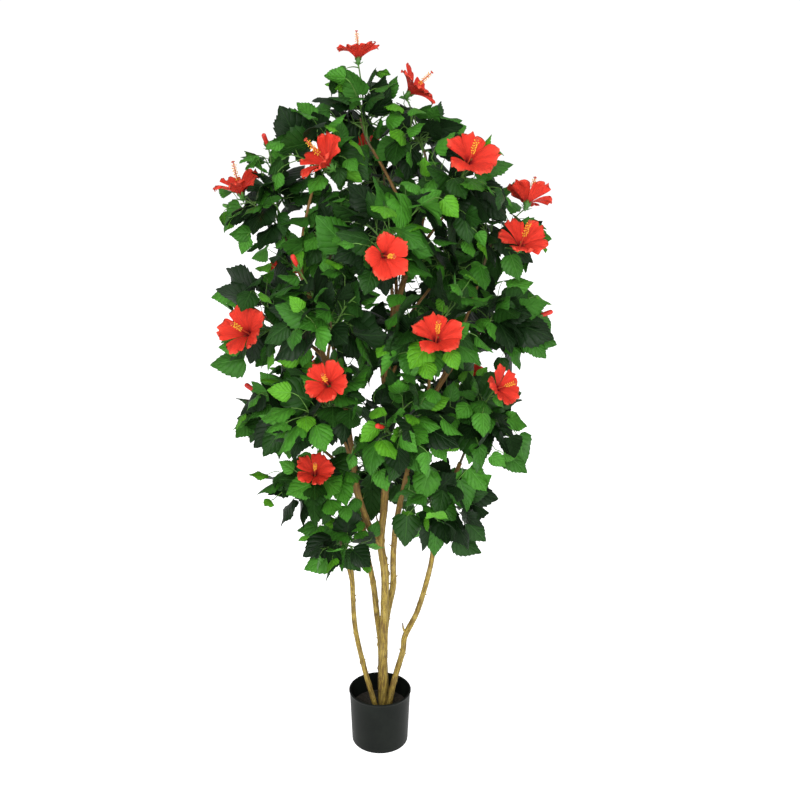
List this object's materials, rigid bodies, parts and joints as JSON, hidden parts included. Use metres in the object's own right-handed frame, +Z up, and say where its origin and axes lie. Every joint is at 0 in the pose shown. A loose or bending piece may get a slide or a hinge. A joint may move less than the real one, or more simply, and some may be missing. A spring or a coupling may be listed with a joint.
{
  "type": "artificial hibiscus tree in a pot",
  "caption": "Potted artificial hibiscus tree: several natural wood stems in a plain black pot carry a tall, loose crown of serrated leaves with large red flowers and buds.",
  "frame": {"origin": "centre of the pot's flat underside, at floor level", "axes": "+Z up through the crown, +X to the right and -Y towards the viewer, as the plant is seen from its front"},
  "size_m": [0.7875, 0.7767, 1.802],
  "materials": {
    "pot": "black moulded plastic with a soft sheen",
    "filling": "rough dark cement",
    "bark": "golden tan natural wood stems with knots",
    "foliage": "printed green fabric leaves with red fabric flowers"
  },
  "bodies": {
    "root": {"pot": "pot", "pot_filling": "filling", "trunk": "bark", "stem_left": "bark", "stem_back": "bark", "stem_right_back": "bark", "stem_right": "bark", "fork_left": "bark", "bough_crest": "bark", "bough_upper_left": "bark", "bough_upper_right": "bark", "bough_upper_back": "bark", "bough_shoulder_right": "bark", "bough_front_high": "bark", "bough_core_left": "bark", "bough_core_right": "bark", "bough_core_low": "bark", "bough_left_middle": "bark", "bough_front_left": "bark", "bough_front_right": "bark", "bough_back_right": "bark", "bough_left_low": "bark", "bough_front_left_low": "bark", "bough_front_low": "bark", "bough_back_left_low": "bark", "bough_back_right_low": "bark", "bough_foot_left": "bark", "bough_foot_right": "bark", "bough_foot_back": "bark", "foliage_crest": "foliage", "foliage_crest_right": "foliage", "foliage_upper_left": "foliage", "foliage_upper_right": "foliage", "foliage_upper_back": "foliage", "foliage_shoulder_left": "foliage", "foliage_shoulder_right": "foliage", "foliage_front_high": "foliage", "foliage_core_left": "foliage", "foliage_core_right": "foliage", "foliage_core_low": "foliage", "foliage_left_middle": "foliage", "foliage_front_left": "foliage", "foliage_front_right": "foliage", "foliage_right_middle": "foliage", "foliage_back_left": "foliage", "foliage_back_right": "foliage", "foliage_left_low": "foliage", "foliage_front_left_low": "foliage", "foliage_front_low": "foliage", "foliage_right_low": "foliage", "foliage_back_left_low": "foliage", "foliage_back_right_low": "foliage", "foliage_foot_left_front": "foliage", "foliage_foot_left": "foliage", "foliage_foot_right": "foliage", "foliage_foot_back": "foliage"}
  },
  "joints": []
}
